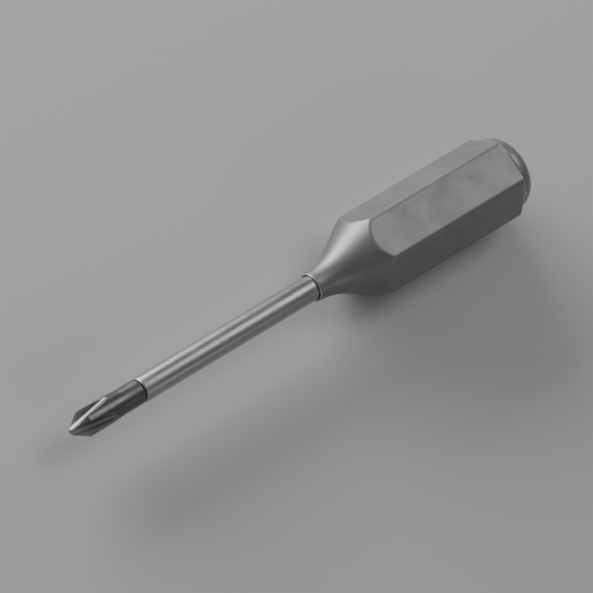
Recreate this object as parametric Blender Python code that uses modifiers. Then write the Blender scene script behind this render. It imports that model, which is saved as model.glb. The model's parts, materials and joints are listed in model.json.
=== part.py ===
"""A small hex-handled screwdriver with a swivel cap and an interchangeable bit.

The tool lies on one flat of its hexagonal handle. Its axis runs along +X, from the bit's
tip to the cap, and the origin is under the middle of the tool, on the surface it lies on.
Stations along the tool are given in millimetres from the bit's tip.
"""

import math

import bmesh
import bpy
from mathutils import Matrix, Vector

MM = 0.001

# Driving dimensions, in millimetres
HANDLE_AF = 17.0  # across the flats of the handle
TOOL_LENGTH = 125.0  # tip of the bit to the back of the cap
BIT_LENGTH = 28.0
BIT_AF = 4.0  # across the flats of the bit's tang
BIT_EXPOSED = 18.5  # how far the bit stands out of the shaft
BIT_HEAD_RADIUS = 2.9
BIT_WAIST_RADIUS = 2.65
SHAFT_RADIUS = 2.75
NECK_FRONT = 66.5  # where the handle's neck begins, on the shaft
HANDLE_REAR = 120.8  # back face of the hexagonal handle
FIT_GAP = 0.12  # radial and end gap between neighbouring pieces
SMALL_GAP = 0.1  # the same round the smallest pieces
EDGE_BREAK = 0.3  # chamfer on a turned edge
OVERCUT = 2.0  # how far a cutter runs past the face that it enters

# Sizes that follow from them
HANDLE_CORNER = HANDLE_AF / math.sqrt(3.0)  # axis to a corner of the hexagon
SHAFT_FRONT = BIT_EXPOSED
SOCKET_DEPTH = BIT_LENGTH - BIT_EXPOSED + FIT_GAP
NECK_LIP_RADIUS = SHAFT_RADIUS + 0.5
NECK_ARC_RADIUS = 16.5  # concave sweep from the shaft up to the cone
NECK_CONE_ANGLE = math.radians(29.5)
LONG_EDGE_RADIUS = 0.7  # rounding of the handle's six long edges

# The drive collar: a hexagon pinned to the shaft's back end, in a pocket inside the handle
COLLAR_AF = 9.0
COLLAR_FRONT = 84.3
COLLAR_REAR = 88.3
DOWEL_RADIUS = 1.0
DOWEL_LENGTH = 8.4

# The handle's bore, and the stack that clamps the collar from behind
BORE_RADIUS = 5.8
STACK_RADIUS = BORE_RADIUS - 0.15
SPRING_FRONT = 88.75
SPACER_FRONT = 89.9
SPACER_REAR = 101.9
PLUG_FRONT = 102.05
PLUG_REAR = 117.8
THREAD_PITCH = 1.0
SEAL_GROOVE_FRONT = 103.4
SEAL_GROOVE_REAR = 104.8
SEAL_GROOVE_RADIUS = 4.75

# The ball bearing in the plug, 4 x 9 x 4 mm
BEARING_FRONT = 112.0
BEARING_REAR = 116.0
BEARING_MIDDLE = (BEARING_FRONT + BEARING_REAR) / 2
BEARING_BORE_RADIUS = 2.05
BEARING_OUTER_RADIUS = 4.5
INNER_RING_RADIUS = 2.8
OUTER_RING_RADIUS = 3.75  # inside radius of the outer ring
BALL_COUNT = 7
BALL_RADIUS = 0.75
BALL_PITCH_RADIUS = (INNER_RING_RADIUS + OUTER_RING_RADIUS) / 2
CIRCLIP_FRONT = 116.2
CIRCLIP_THICKNESS = 0.6
CIRCLIP_RADIUS = 4.95

# The swivel cap and its axle
CAP_RADIUS = 8.2
CAP_EDGE_RADIUS = 3.2
CAP_FRONT = HANDLE_REAR + 0.25
CAP_REAR = TOOL_LENGTH
WASHER_THICKNESS = 0.75
WASHER_RECESS_RADIUS = 7.1
WASHER_RECESS_FRONT = CAP_FRONT - WASHER_THICKNESS - 0.2
HUB_RADIUS = 2.6
AXLE_RADIUS = 1.93
AXLE_HEAD_RADIUS = 3.2
AXLE_THREAD_RADIUS = 1.5
HEAD_SEAT = CAP_REAR - 2.2  # bottom of the cap's counterbore
CAP_DISC_RADIUS = 3.8
NUT_AF = 5.5

ROUND_STEPS = 32  # sides of a turned piece inside the tool
NECK_STEPS = 48  # sides of the handle's turned neck
FINE_STEPS = 24  # sides of the smallest turned pieces
MERGE = 1e-7


def clear_scene():
    """Removes whatever the file holds, so that the model starts clean."""
    for old in list(bpy.data.objects):
        bpy.data.objects.remove(old)


def new_collection(name):
    collection = bpy.data.collections.new(name)
    bpy.context.scene.collection.children.link(collection)
    return collection


def new_material(name, colour, roughness, metallic):
    material = bpy.data.materials.new(name)
    material.use_nodes = True
    shader = material.node_tree.nodes["Principled BSDF"]
    shader.inputs["Base Color"].default_value = (*colour, 1.0)
    shader.inputs["Roughness"].default_value = roughness
    shader.inputs["Metallic"].default_value = metallic
    return material


def station(s):
    """Local height of a station, in metres, on an axis whose zero is the tool's middle."""
    return (s - TOOL_LENGTH / 2) * MM


def new_axis(name):
    """An empty on the tool's centreline, turned so that its own Z runs along world +X."""
    axis = bpy.data.objects.new(name, None)
    axis.location = (0.0, 0.0, HANDLE_AF / 2 * MM)
    axis.rotation_euler = (0.0, math.pi / 2, 0.0)
    PARTS.objects.link(axis)
    return axis


def add_piece(name, data, axis, material):
    """Puts a mesh or curve on one of the axes as a named sub-part."""
    piece = bpy.data.objects.new(name, data)
    data.materials.append(material)
    PARTS.objects.link(piece)
    piece.parent = axis
    return piece


def add_cutter(name, data):
    """Puts a mesh on the handle's axis as a hidden cutting tool."""
    cutter = bpy.data.objects.new(name, data)
    CUTTERS.objects.link(cutter)
    cutter.parent = HANDLE_AXIS
    cutter.hide_render = True
    cutter.display_type = "WIRE"
    return cutter


def profile_mesh(name, points, closed):
    """A half section as edges in the local XZ plane, from (radius, station) points."""
    mesh = bpy.data.meshes.new(name)
    vertices = [(radius * MM, 0.0, station(s)) for radius, s in points]
    edges = [(i, i + 1) for i in range(len(points) - 1)]
    if closed:
        edges.append((len(points) - 1, 0))
    mesh.from_pydata(vertices, edges, [])
    return mesh


def spin(piece, steps):
    """Turns a half section about the local Z axis."""
    screw = piece.modifiers.new("turned", "SCREW")
    screw.axis = "Z"
    screw.steps = steps
    screw.render_steps = steps
    screw.use_merge_vertices = True
    screw.merge_threshold = MERGE
    screw.use_smooth_shade = True
    return piece


def turned(name, points, axis, material, steps=ROUND_STEPS, closed=True):
    """A turned piece. Points run down its outer side, from the back end to the front."""
    return spin(add_piece(name, profile_mesh(name, points, closed), axis, material), steps)


def turned_cutter(name, points, steps=ROUND_STEPS, closed=True):
    return spin(add_cutter(name, profile_mesh(name, points, closed)), steps)


def ring_points(inner, outer, front, rear):
    """The rectangular half section of a plain ring."""
    return [(inner, rear), (outer, rear), (outer, front), (inner, front)]


def rod_points(radius, front, rear, chamfer=0.0):
    """The half section of a solid rod, closed on the axis."""
    if not chamfer:
        return [(0.0, rear), (radius, rear), (radius, front), (0.0, front)]
    return [
        (0.0, rear),
        (radius - chamfer, rear),
        (radius, rear - chamfer),
        (radius, front + chamfer),
        (radius - chamfer, front),
        (0.0, front),
    ]


def hexagon_mesh(name, across_flats, front, rear, edge_radius=0.0):
    """A hexagonal bar along the axis with two of its flats facing world up and down."""
    mesh = bpy.data.meshes.new(name)
    bar = bmesh.new()
    corner = across_flats / math.sqrt(3.0) * MM
    bmesh.ops.create_cone(
        bar, cap_ends=True, segments=6, radius1=corner, radius2=corner, depth=(rear - front) * MM
    )
    # create_cone puts its first corner on Y, so the flats already face local +X and -X
    bmesh.ops.translate(bar, verts=bar.verts, vec=(0.0, 0.0, station((front + rear) / 2)))
    if edge_radius:
        long_edges = [e for e in bar.edges if abs(e.verts[0].co.z - e.verts[1].co.z) > MM]
        bmesh.ops.bevel(
            bar, geom=long_edges, offset=edge_radius * MM, segments=2, profile=0.5, affect="EDGES"
        )
    bar.to_mesh(mesh)
    bar.free()
    return mesh


def rod_mesh(name, radius, length, steps=FINE_STEPS):
    """A plain cylinder about its own middle, along its own Z."""
    mesh = bpy.data.meshes.new(name)
    rod = bmesh.new()
    bmesh.ops.create_cone(
        rod, cap_ends=True, segments=steps, radius1=radius * MM, radius2=radius * MM,
        depth=length * MM,
    )
    rod.to_mesh(mesh)
    rod.free()
    return mesh


def boolean(piece, cutter, operation):
    modifier = piece.modifiers.new(cutter.name, "BOOLEAN")
    modifier.object = cutter
    modifier.operation = operation
    modifier.solver = "EXACT"


def ball_mesh(name, radius):
    """A small sphere about its own origin, shaded smooth."""
    mesh = bpy.data.meshes.new(name)
    ball = bmesh.new()
    bmesh.ops.create_icosphere(ball, subdivisions=2, radius=radius * MM)
    for face in ball.faces:
        face.smooth = True
    ball.to_mesh(mesh)
    ball.free()
    return mesh


def ball_place(i):
    """Where the ball of that number sits on the bearing's pitch circle."""
    angle = 2 * math.pi * i / BALL_COUNT
    radius = BALL_PITCH_RADIUS * MM
    return Vector((radius * math.cos(angle), radius * math.sin(angle), station(BEARING_MIDDLE)))


def groove_points(edge_radius, middle, depth_radius, width, count=5):
    """An arc across a bearing groove, from the back to the front, on a ring's edge radius.

    depth_radius is the radius at the bottom of the groove.
    """
    sag = depth_radius - edge_radius
    points = []
    for i in range(count):
        t = i / (count - 1)
        across = math.sin(math.pi * t)
        points.append((edge_radius + sag * across, middle + width * (0.5 - t)))
    return points


def build_handle():
    """A hexagonal bar with its neck and back chamfer turned and its bore drilled."""
    arc_steps = 7
    lip_chamfer = EDGE_BREAK / 2
    turning_margin = 0.6  # how far the turned blank stands outside the hexagon's corners
    rear_margin = 0.15  # how far the turned back edge stands outside the flats
    rear_chamfer = 0.6
    pocket_play = 0.3
    neck = []
    for i in range(arc_steps):
        angle = NECK_CONE_ANGLE * i / (arc_steps - 1)
        neck.append(
            (
                NECK_LIP_RADIUS + NECK_ARC_RADIUS * (1.0 - math.cos(angle)),
                NECK_FRONT + EDGE_BREAK + NECK_ARC_RADIUS * math.sin(angle),
            )
        )
    blank_radius = HANDLE_CORNER + turning_margin
    cone_radius, cone_start = neck[-1]
    cone_end = cone_start + (blank_radius - cone_radius) / math.tan(NECK_CONE_ANGLE)
    outside = [
        (HANDLE_AF / 2 + rear_margin, HANDLE_REAR),
        (blank_radius, HANDLE_REAR - rear_chamfer),
        (blank_radius, cone_end),
        *reversed(neck),
        (NECK_LIP_RADIUS - lip_chamfer, NECK_FRONT),
    ]
    shaft_bore = SHAFT_RADIUS + FIT_GAP
    pocket_rear = COLLAR_REAR + pocket_play
    inside = [
        (shaft_bore, NECK_FRONT),
        (shaft_bore, pocket_rear),
        (BORE_RADIUS, pocket_rear),
        (BORE_RADIUS, WASHER_RECESS_FRONT),
        (WASHER_RECESS_RADIUS, WASHER_RECESS_FRONT),
        (WASHER_RECESS_RADIUS, HANDLE_REAR),
    ]
    handle = turned("handle_shell", outside + inside, HANDLE_AXIS, ALUMINIUM, NECK_STEPS)
    flats = add_cutter(
        "handle_flats",
        hexagon_mesh(
            "handle_flats", HANDLE_AF, NECK_FRONT - OVERCUT, HANDLE_REAR + OVERCUT, LONG_EDGE_RADIUS
        ),
    )
    pocket = add_cutter(
        "collar_pocket",
        hexagon_mesh(
            "collar_pocket", COLLAR_AF + pocket_play, COLLAR_FRONT - FIT_GAP, pocket_rear + OVERCUT
        ),
    )
    boolean(handle, flats, "INTERSECT")
    boolean(handle, pocket, "DIFFERENCE")


def build_shaft():
    """A ground steel rod with a hexagonal socket and a magnet at its front end."""
    face_chamfer = 0.35
    socket_play = 0.2
    magnet_radius = 1.5
    magnet_length = 4.0
    magnet_chamfer = 0.2
    socket_end = SHAFT_FRONT + SOCKET_DEPTH
    magnet_front = socket_end + FIT_GAP
    magnet_rear = magnet_front + magnet_length
    shaft = turned(
        "drive_shaft",
        rod_points(SHAFT_RADIUS, SHAFT_FRONT, COLLAR_REAR, face_chamfer),
        HANDLE_AXIS,
        STEEL,
        closed=False,
    )
    socket = add_cutter(
        "socket_hexagon",
        hexagon_mesh("socket_hexagon", BIT_AF + socket_play, SHAFT_FRONT - OVERCUT, socket_end),
    )
    magnet_hole = turned_cutter(
        "magnet_hole",
        rod_points(magnet_radius + FIT_GAP, socket_end - OVERCUT, magnet_rear + FIT_GAP),
        FINE_STEPS,
        closed=False,
    )
    dowel_hole = add_cutter(
        "dowel_hole", rod_mesh("dowel_hole", DOWEL_RADIUS + SMALL_GAP, DOWEL_LENGTH + 2 * OVERCUT)
    )
    dowel_hole.location.z = station((COLLAR_FRONT + COLLAR_REAR) / 2)
    dowel_hole.rotation_euler = (math.pi / 2, 0.0, 0.0)
    for cutter in (socket, magnet_hole, dowel_hole):
        boolean(shaft, cutter, "DIFFERENCE")
    turned(
        "socket_magnet",
        rod_points(magnet_radius, magnet_front, magnet_rear, magnet_chamfer),
        HANDLE_AXIS,
        NICKEL,
        FINE_STEPS,
        closed=False,
    )
    return dowel_hole


def build_collar(dowel_hole):
    """The hexagon that passes the handle's torque to the shaft, and its cross pin."""
    collar = add_piece(
        "drive_collar",
        hexagon_mesh("drive_collar", COLLAR_AF, COLLAR_FRONT, COLLAR_REAR, EDGE_BREAK),
        HANDLE_AXIS,
        BRASS,
    )
    hole = turned_cutter(
        "collar_hole",
        rod_points(SHAFT_RADIUS + FIT_GAP, COLLAR_FRONT - OVERCUT, COLLAR_REAR + OVERCUT),
        closed=False,
    )
    boolean(collar, hole, "DIFFERENCE")
    boolean(collar, dowel_hole, "DIFFERENCE")
    pin_mesh = rod_mesh("collar_pin", DOWEL_RADIUS, DOWEL_LENGTH)
    pin = add_piece("collar_pin", pin_mesh, HANDLE_AXIS, STEEL)
    pin.location = dowel_hole.location
    pin.rotation_euler = dowel_hole.rotation_euler


def build_clamp_stack():
    """The disc spring and the spacer that hold the collar in its pocket."""
    spring_inner = 3.0
    spring_outer = 5.5
    spring_thickness = 0.35
    spring_cone = 0.55
    spacer_inner = 4.3
    turned(
        "disc_spring",
        [
            (spring_inner, SPRING_FRONT + spring_thickness + spring_cone),
            (spring_outer, SPRING_FRONT + spring_thickness),
            (spring_outer, SPRING_FRONT),
            (spring_inner, SPRING_FRONT + spring_cone),
        ],
        HANDLE_AXIS,
        STEEL,
    )
    turned(
        "spacer_tube",
        ring_points(spacer_inner, STACK_RADIUS, SPACER_FRONT, SPACER_REAR),
        HANDLE_AXIS,
        BRASS,
    )


def build_plug():
    """A brass tube screwed into the handle. It carries the bearing and an O-ring."""
    thread_front = 106.0
    thread_turns = 9
    thread_root = STACK_RADIUS - 0.4
    outside = [(STACK_RADIUS - EDGE_BREAK, PLUG_REAR), (STACK_RADIUS, PLUG_REAR - EDGE_BREAK)]
    for turn in range(thread_turns, 0, -1):
        crest = thread_front + turn * THREAD_PITCH
        outside.append((STACK_RADIUS, crest))
        outside.append((thread_root, crest - THREAD_PITCH / 2))
    outside += [
        (STACK_RADIUS, thread_front),
        (STACK_RADIUS, SEAL_GROOVE_REAR),
        (SEAL_GROOVE_RADIUS, SEAL_GROOVE_REAR),
        (SEAL_GROOVE_RADIUS, SEAL_GROOVE_FRONT),
        (STACK_RADIUS, SEAL_GROOVE_FRONT),
        (STACK_RADIUS, PLUG_FRONT),
    ]
    nut_cavity_radius = 3.7
    bearing_shoulder = BEARING_FRONT - SMALL_GAP
    seat_radius = BEARING_OUTER_RADIUS + SMALL_GAP
    clip_groove_front = CIRCLIP_FRONT - SMALL_GAP
    clip_groove_rear = CIRCLIP_FRONT + CIRCLIP_THICKNESS + SMALL_GAP
    clip_groove_radius = CIRCLIP_RADIUS + SMALL_GAP
    inside = [
        (nut_cavity_radius, PLUG_FRONT),
        (nut_cavity_radius, bearing_shoulder),
        (seat_radius, bearing_shoulder),
        (seat_radius, clip_groove_front),
        (clip_groove_radius, clip_groove_front),
        (clip_groove_radius, clip_groove_rear),
        (seat_radius, clip_groove_rear),
        (seat_radius, PLUG_REAR),
    ]
    plug = turned("end_plug", outside + inside, HANDLE_AXIS, BRASS)
    boolean(plug, spanner_slot_cutter(), "DIFFERENCE")


def spanner_slot_cutter():
    """A bar across the plug's back face, which leaves two slots for a pin spanner."""
    slot_width = 1.2
    slot_depth = 0.6
    bar_length = 2 * STACK_RADIUS + OVERCUT
    mesh = bpy.data.meshes.new("spanner_slots")
    bar = bmesh.new()
    size = Matrix.Diagonal((slot_width * MM, bar_length * MM, 2 * slot_depth * MM, 1.0))
    place = Matrix.Translation((0.0, 0.0, station(PLUG_REAR)))
    bmesh.ops.create_cube(bar, size=1.0, matrix=place @ size)
    bar.to_mesh(mesh)
    bar.free()
    return add_cutter("spanner_slots", mesh)


def build_o_ring():
    """The rubber ring in the plug's groove."""
    cord_radius = 0.45
    groove_clearance = 0.05
    middle_radius = SEAL_GROOVE_RADIUS + groove_clearance + cord_radius
    ring = bpy.data.curves.new("plug_o_ring", "CURVE")
    ring.dimensions = "3D"
    ring.bevel_depth = cord_radius * MM
    ring.bevel_resolution = 2
    spline = ring.splines.new("POLY")
    spline.points.add(ROUND_STEPS - 1)
    for i, point in enumerate(spline.points):
        angle = 2 * math.pi * i / ROUND_STEPS
        x = middle_radius * math.cos(angle) * MM
        y = middle_radius * math.sin(angle) * MM
        point.co = (x, y, station((SEAL_GROOVE_FRONT + SEAL_GROOVE_REAR) / 2), 1.0)
    spline.use_cyclic_u = True
    add_piece("plug_o_ring", ring, HANDLE_AXIS, RUBBER)


def build_bearing_rings():
    """The outer ring, which stays with the handle, and the inner ring, which turns with the cap."""
    groove_radius = BALL_RADIUS + SMALL_GAP
    half_gap = OUTER_RING_RADIUS - BALL_PITCH_RADIUS
    groove_width = 2 * math.sqrt(groove_radius**2 - half_gap**2)
    outer_groove = groove_points(
        OUTER_RING_RADIUS, BEARING_MIDDLE, BALL_PITCH_RADIUS + groove_radius, groove_width
    )
    inner_groove = groove_points(
        INNER_RING_RADIUS, BEARING_MIDDLE, BALL_PITCH_RADIUS - groove_radius, groove_width
    )
    turned(
        "bearing_outer_ring",
        [
            (OUTER_RING_RADIUS, BEARING_REAR),
            (BEARING_OUTER_RADIUS, BEARING_REAR),
            (BEARING_OUTER_RADIUS, BEARING_FRONT),
            (OUTER_RING_RADIUS, BEARING_FRONT),
            *reversed(outer_groove),
        ],
        HANDLE_AXIS,
        STEEL,
    )
    turned(
        "bearing_inner_ring",
        [
            (BEARING_BORE_RADIUS, BEARING_REAR),
            (INNER_RING_RADIUS, BEARING_REAR),
            *inner_groove,
            (INNER_RING_RADIUS, BEARING_FRONT),
            (BEARING_BORE_RADIUS, BEARING_FRONT),
        ],
        CAP_AXIS,
        STEEL,
    )


def build_cage_and_balls():
    """A crown-shaped cage, open towards the tip, with a ball in each of its pockets."""
    cage_inner = 2.97
    cage_outer = 3.58
    cage_front = BEARING_MIDDLE + 0.15
    cage_rear = BEARING_MIDDLE + 1.2
    steps_per_ball = 4
    cage = turned(
        "bearing_cage",
        ring_points(cage_inner, cage_outer, cage_front, cage_rear),
        BALL_AXIS,
        BRASS,
        steps_per_ball * BALL_COUNT,
    )
    for i in range(BALL_COUNT):
        name = f"bearing_ball_{i + 1}"
        ball = add_piece(name, ball_mesh(name, BALL_RADIUS), BALL_AXIS, CHROME)
        ball.location = ball_place(i)
        name = f"cage_pocket_{i + 1}"
        pocket = add_cutter(name, ball_mesh(name, BALL_RADIUS + SMALL_GAP))
        pocket.location = ball_place(i)
        boolean(cage, pocket, "DIFFERENCE")


def build_shields():
    """Two thin plates that close the bearing's faces."""
    thickness = 0.2
    inset = 0.15
    edge_gap = 0.08
    fronts = {
        "bearing_front_shield": BEARING_FRONT + inset,
        "bearing_rear_shield": BEARING_REAR - inset - thickness,
    }
    for name, front in fronts.items():
        plate = ring_points(
            INNER_RING_RADIUS + edge_gap, OUTER_RING_RADIUS - edge_gap, front, front + thickness
        )
        turned(name, plate, HANDLE_AXIS, STEEL)


def build_circlip():
    """An open spring ring with a hole in each lug, cut from flat strip."""
    inner_radius = 4.0
    lug_inner_radius = 3.3
    gap_angle = math.radians(20.0)
    lug_angle = math.radians(16.0)
    lug_root_angle = math.radians(19.2)
    hole_place = 3.95
    hole_radius = 0.3
    arc_steps = 26
    lug_steps = 3
    hole_steps = 10
    full = 2 * math.pi
    clip = bpy.data.curves.new("bearing_circlip", "CURVE")
    clip.dimensions = "2D"
    clip.fill_mode = "BOTH"
    clip.extrude = CIRCLIP_THICKNESS / 2 * MM
    inner_start = full - gap_angle - lug_root_angle
    inner_end = gap_angle + lug_root_angle
    outline = [
        *arc(CIRCLIP_RADIUS, gap_angle, full - gap_angle, arc_steps),
        *arc(lug_inner_radius, full - gap_angle, full - gap_angle - lug_angle, lug_steps),
        *arc(inner_radius, inner_start, inner_end, arc_steps),
        *arc(lug_inner_radius, gap_angle + lug_angle, gap_angle, lug_steps),
    ]
    add_outline(clip, outline)
    round_hole = arc(hole_radius, 0.0, full * (hole_steps - 1) / hole_steps, hole_steps)
    for side in (1, -1):
        middle = side * (gap_angle + lug_angle / 2)
        hole_x = hole_place * math.cos(middle)
        hole_y = hole_place * math.sin(middle)
        add_outline(clip, [(hole_x + x, hole_y + y) for x, y in round_hole])
    circlip = add_piece("bearing_circlip", clip, HANDLE_AXIS, STEEL)
    circlip.location.z = station(CIRCLIP_FRONT + CIRCLIP_THICKNESS / 2)


def arc(radius, start, end, steps):
    """Points of a circular arc, from one angle to another."""
    points = []
    for i in range(steps):
        angle = start + (end - start) * i / (steps - 1)
        points.append((radius * math.cos(angle), radius * math.sin(angle)))
    return points


def add_outline(curve, points):
    """Adds a closed outline to a flat curve. One inside another is a hole."""
    spline = curve.splines.new("POLY")
    spline.points.add(len(points) - 1)
    for point, (x, y) in zip(spline.points, points):
        point.co = (x * MM, y * MM, 0.0, 1.0)
    spline.use_cyclic_u = True


def build_cap():
    """The domed swivel cap, with the hub that pushes on the bearing's inner ring."""
    hub_front = BEARING_REAR + FIT_GAP
    counterbore = CAP_DISC_RADIUS + SMALL_GAP
    axle_hole = AXLE_RADIUS + SMALL_GAP
    edge_steps = 6
    edge = []
    for i in range(edge_steps + 1):
        angle = math.pi / 2 * (1 - i / edge_steps)
        edge.append(
            (
                CAP_RADIUS - CAP_EDGE_RADIUS + CAP_EDGE_RADIUS * math.cos(angle),
                CAP_REAR - CAP_EDGE_RADIUS + CAP_EDGE_RADIUS * math.sin(angle),
            )
        )
    turned(
        "swivel_cap",
        [
            (counterbore, CAP_REAR),
            *edge,
            (CAP_RADIUS, CAP_FRONT + EDGE_BREAK),
            (CAP_RADIUS - EDGE_BREAK, CAP_FRONT),
            (HUB_RADIUS, CAP_FRONT),
            (HUB_RADIUS, hub_front),
            (axle_hole, hub_front),
            (axle_hole, HEAD_SEAT),
            (counterbore, HEAD_SEAT),
        ],
        CAP_AXIS,
        ALUMINIUM,
        NECK_STEPS,
    )


def build_cap_disc():
    """The disc that covers the screw, just below the cap's back face."""
    thickness = 0.45
    disc_rear = CAP_REAR - SMALL_GAP
    turned(
        "cap_disc",
        rod_points(CAP_DISC_RADIUS, disc_rear - thickness, disc_rear, SMALL_GAP),
        CAP_AXIS,
        DARK_STEEL,
        closed=False,
    )


def build_thrust_washer():
    """The plastic ring in the handle's back face, which keeps the cap off the metal."""
    edge_gap = 0.15
    front = WASHER_RECESS_FRONT + SMALL_GAP
    ring = ring_points(
        BORE_RADIUS + edge_gap, WASHER_RECESS_RADIUS - edge_gap, front, front + WASHER_THICKNESS
    )
    turned("thrust_washer", ring, HANDLE_AXIS, WHITE_PLASTIC)


def build_axle_nut():
    """The nut that clamps the bearing's inner ring from the front."""
    height = 2.4
    corner_break = 0.2
    rear = BEARING_FRONT - SMALL_GAP
    front = rear - height
    nut = add_piece(
        "axle_nut", hexagon_mesh("axle_nut", NUT_AF, front, rear, corner_break), CAP_AXIS, STEEL
    )
    hole = turned_cutter(
        "nut_hole",
        rod_points(AXLE_THREAD_RADIUS + FIT_GAP, front - OVERCUT, rear + OVERCUT),
        FINE_STEPS,
        closed=False,
    )
    boolean(nut, hole, "DIFFERENCE")


def build_axle_screw():
    """A shoulder screw: hexagon-socket head, ground shoulder and a short M3 thread."""
    head_height = 1.35
    head_chamfer = 0.25
    key_af = 2.5
    key_depth = 1.0
    head_front = HEAD_SEAT + SMALL_GAP
    head_rear = head_front + head_height
    shoulder_end = BEARING_FRONT + 0.3  # inside the ring, so that the nut clamps the ring
    pitch = 0.5
    thread_turns = 5
    thread_start = shoulder_end - 0.35
    thread_end = thread_start - thread_turns * pitch - SMALL_GAP
    root_radius = AXLE_THREAD_RADIUS - 0.22
    points = [
        (0.0, head_rear),
        (AXLE_HEAD_RADIUS - head_chamfer, head_rear),
        (AXLE_HEAD_RADIUS, head_rear - head_chamfer),
        (AXLE_HEAD_RADIUS, head_front),
        (AXLE_RADIUS, head_front),
        (AXLE_RADIUS, shoulder_end),
        (root_radius, shoulder_end),
    ]
    for turn in range(thread_turns):
        crest = thread_start - turn * pitch
        points.append((AXLE_THREAD_RADIUS, crest))
        points.append((root_radius, crest - pitch / 2))
    points += [(root_radius - SMALL_GAP, thread_end), (0.0, thread_end)]
    screw = turned("axle_screw", points, CAP_AXIS, STEEL, FINE_STEPS, closed=False)
    key = add_cutter(
        "screw_hexagon",
        hexagon_mesh("screw_hexagon", key_af, head_rear - key_depth, head_rear + OVERCUT),
    )
    boolean(screw, key, "DIFFERENCE")


def build_bit():
    """A round head with a cross point ground on it, on a hexagonal tang that fills the socket."""
    shoulder = SHAFT_FRONT - 0.15
    tip_radius = 0.95
    tip_break = 0.15
    cone_length = 3.6
    head_end = 9.0
    waist_start = 13.0
    bit = turned(
        "driver_bit",
        [
            (0.0, shoulder),
            (BIT_WAIST_RADIUS - EDGE_BREAK, shoulder),
            (BIT_WAIST_RADIUS, shoulder - EDGE_BREAK),
            (BIT_WAIST_RADIUS, waist_start),
            (BIT_HEAD_RADIUS, head_end),
            (BIT_HEAD_RADIUS, cone_length),
            (tip_radius, tip_break),
            (tip_radius - 2 * tip_break, 0.0),
            (0.0, 0.0),
        ],
        BIT_AXIS,
        DARK_STEEL,
        closed=False,
    )
    boolean(bit, tang_tool(shoulder), "UNION")
    cut_flutes(bit)


def tang_tool(shoulder):
    """The hexagonal tang, with its back end chamfered, as a tool to join to the head."""
    chamfer = 0.4
    margin = 0.2
    corner = BIT_AF / math.sqrt(3.0)
    tang = add_cutter("bit_tang", hexagon_mesh("bit_tang", BIT_AF, shoulder - OVERCUT, BIT_LENGTH))
    tang_end = turned_cutter(
        "tang_end",
        [
            (0.0, BIT_LENGTH + margin),
            (corner - chamfer - margin, BIT_LENGTH + margin),
            (corner + margin, BIT_LENGTH - chamfer - margin),
            (corner + margin, shoulder - 2 * OVERCUT),
            (0.0, shoulder - 2 * OVERCUT),
        ],
        closed=False,
    )
    boolean(tang, tang_end, "INTERSECT")
    return tang


def cut_flutes(bit):
    """Four round grooves that lean away from the axis, so each is deepest at the tip."""
    radius = 1.45
    root = 0.5  # metal left between the axis and a flute at the tip
    length = 30.0
    steps = 16
    lean_angle = math.radians(13.0)
    for i in range(4):
        name = f"flute_{i + 1}"
        flute = add_cutter(name, rod_mesh(name, radius, length, steps))
        around = math.pi / 4 + i * math.pi / 2
        out = Vector((math.cos(around), math.sin(around), 0.0))
        lean = Matrix.Rotation(lean_angle, 3, Vector((-out.y, out.x, 0.0)))
        flute.location = out * (root + radius) * MM + Vector((0.0, 0.0, station(0.0)))
        flute.rotation_euler = lean.to_euler()
        boolean(bit, flute, "DIFFERENCE")


clear_scene()
PARTS = new_collection("screwdriver")
CUTTERS = new_collection("cutters")

ALUMINIUM = new_material("satin_aluminium", (0.42, 0.42, 0.42), 0.38, 0.9)
STEEL = new_material("satin_steel", (0.55, 0.55, 0.55), 0.28, 1.0)
DARK_STEEL = new_material("dark_steel", (0.16, 0.16, 0.165), 0.42, 0.9)
CHROME = new_material("polished_steel", (0.7, 0.7, 0.7), 0.08, 1.0)
NICKEL = new_material("nickel_plate", (0.6, 0.58, 0.54), 0.2, 1.0)
BRASS = new_material("brass", (0.62, 0.46, 0.2), 0.3, 1.0)
RUBBER = new_material("black_rubber", (0.03, 0.03, 0.03), 0.8, 0.0)
WHITE_PLASTIC = new_material("white_plastic", (0.8, 0.8, 0.78), 0.45, 0.0)

HANDLE_AXIS = new_axis("handle_axis")
CAP_AXIS = new_axis("cap_axis")
BALL_AXIS = new_axis("ball_axis")
BIT_AXIS = new_axis("bit_axis")

build_handle()
build_collar(build_shaft())
build_clamp_stack()
build_plug()
build_o_ring()
build_bearing_rings()
build_cage_and_balls()
build_shields()
build_circlip()
build_cap()
build_cap_disc()
build_thrust_washer()
build_axle_nut()
build_axle_screw()
build_bit()
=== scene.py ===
# %% [markdown]
# # A precision screwdriver, finished for a close look
#
# The tool has a hexagonal handle of bead-blasted aluminium, a bright ground shaft, a dark steel
# bit and a cap that spins under a fingertip. Its plain engineering model is loaded first and
# never moved. Around it, this notebook builds the surfaces that a close look needs: softened
# edges, a swept neck, ground flutes and materials that show how each piece was made.

# %% Load the engineering model
import json
import math

import bmesh
import bpy
import numpy as np
from mathutils import Matrix, Vector


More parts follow.
